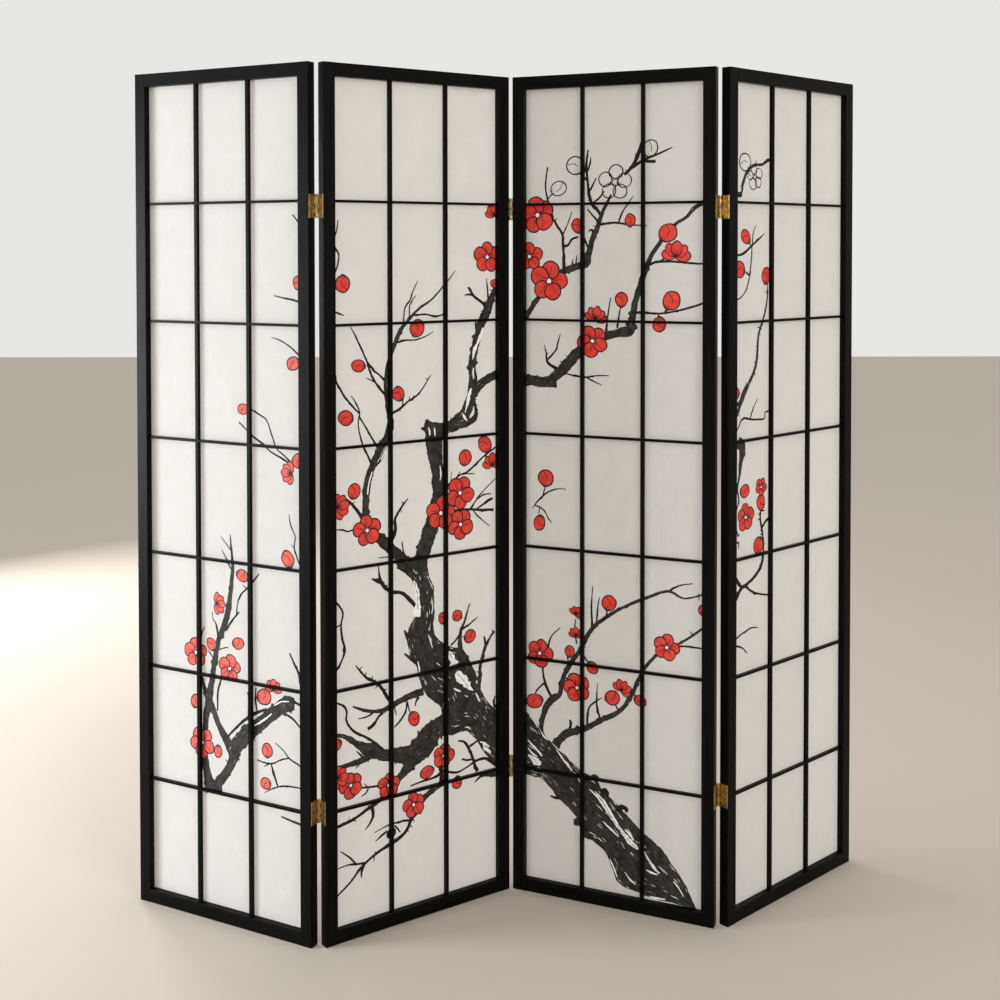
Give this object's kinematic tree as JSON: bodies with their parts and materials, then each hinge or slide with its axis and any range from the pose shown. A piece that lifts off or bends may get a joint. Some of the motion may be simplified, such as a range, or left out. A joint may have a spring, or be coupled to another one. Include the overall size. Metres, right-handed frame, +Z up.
{
  "type": "folding room divider screen",
  "caption": "Free-standing zigzag room divider of black framed, latticed paper panels with a painted plum branch, joined by brass butt hinges.",
  "frame": {"origin": "on the floor, at the middle of the box round the screen as it stands part folded", "axes": "+Z up along the panels, +X to the right along the screen seen from its decorated front, +Y to the back"},
  "size_m": [1.5844, 0.4079, 1.784],
  "materials": {
    "frame_wood": "satin black paint over fine-grained softwood",
    "lattice_wood": "satin black paint over thin wooden bars",
    "bead_wood": "satin black painted strip",
    "dowel_wood": "bare beech",
    "paper": "matt, fibrous, slightly translucent off-white paper with a printed branch",
    "hinge_brass": "mottled antique brass plate",
    "screw_brass": "brass-plated screw",
    "pin_steel": "brass-plated steel pin"
  },
  "bodies": {
    "panel_1": {"panel_1_left_stile": "frame_wood", "panel_1_right_stile": "frame_wood", "panel_1_top_rail": "frame_wood", "panel_1_bottom_rail": "frame_wood", "panel_1_upright_bars": "lattice_wood", "panel_1_cross_bars": "lattice_wood", "panel_1_paper": "paper", "panel_1_back_beads": "bead_wood", "panel_1_dowels": "dowel_wood", "lower_hinge_1_2_left_leaf": "hinge_brass", "upper_hinge_1_2_left_leaf": "hinge_brass", "hinge_1_2_pins": "pin_steel", "hinge_1_2_left_screws": "screw_brass"},
    "panel_2": {"panel_2_left_stile": "frame_wood", "panel_2_right_stile": "frame_wood", "panel_2_top_rail": "frame_wood", "panel_2_bottom_rail": "frame_wood", "panel_2_upright_bars": "lattice_wood", "panel_2_cross_bars": "lattice_wood", "panel_2_paper": "paper", "panel_2_back_beads": "bead_wood", "panel_2_dowels": "dowel_wood", "lower_hinge_1_2_right_leaf": "hinge_brass", "upper_hinge_1_2_right_leaf": "hinge_brass", "hinge_1_2_right_screws": "screw_brass", "lower_hinge_2_3_left_leaf": "hinge_brass", "upper_hinge_2_3_left_leaf": "hinge_brass", "hinge_2_3_pins": "pin_steel", "hinge_2_3_left_screws": "screw_brass"},
    "panel_3": {"panel_3_left_stile": "frame_wood", "panel_3_right_stile": "frame_wood", "panel_3_top_rail": "frame_wood", "panel_3_bottom_rail": "frame_wood", "panel_3_upright_bars": "lattice_wood", "panel_3_cross_bars": "lattice_wood", "panel_3_paper": "paper", "panel_3_back_beads": "bead_wood", "panel_3_dowels": "dowel_wood", "lower_hinge_2_3_right_leaf": "hinge_brass", "upper_hinge_2_3_right_leaf": "hinge_brass", "hinge_2_3_right_screws": "screw_brass", "lower_hinge_3_4_left_leaf": "hinge_brass", "upper_hinge_3_4_left_leaf": "hinge_brass", "hinge_3_4_pins": "pin_steel", "hinge_3_4_left_screws": "screw_brass"},
    "panel_4": {"panel_4_left_stile": "frame_wood", "panel_4_right_stile": "frame_wood", "panel_4_top_rail": "frame_wood", "panel_4_bottom_rail": "frame_wood", "panel_4_upright_bars": "lattice_wood", "panel_4_cross_bars": "lattice_wood", "panel_4_paper": "paper", "panel_4_back_beads": "bead_wood", "panel_4_dowels": "dowel_wood", "lower_hinge_3_4_right_leaf": "hinge_brass", "upper_hinge_3_4_right_leaf": "hinge_brass", "hinge_3_4_right_screws": "screw_brass"}
  },
  "joints": [
    {"name": "fold_1_2", "type": "hinge", "parent": "panel_2", "child": "panel_1", "pos_m": [-0.37847, -0.18587, 0], "axis": [0, 0, -1], "range_deg": [-62.4, 117.6]},
    {"name": "fold_2_3", "type": "hinge", "parent": "panel_2", "child": "panel_3", "pos_m": [0.0126, 0.05634, 0], "axis": [0, 0, -1], "range_deg": [-58.2, 121.8]},
    {"name": "fold_3_4", "type": "hinge", "parent": "panel_3", "child": "panel_4", "pos_m": [0.44327, -0.1053, 0], "axis": [0, 0, 1], "range_deg": [-66.4, 113.6]}
  ]
}
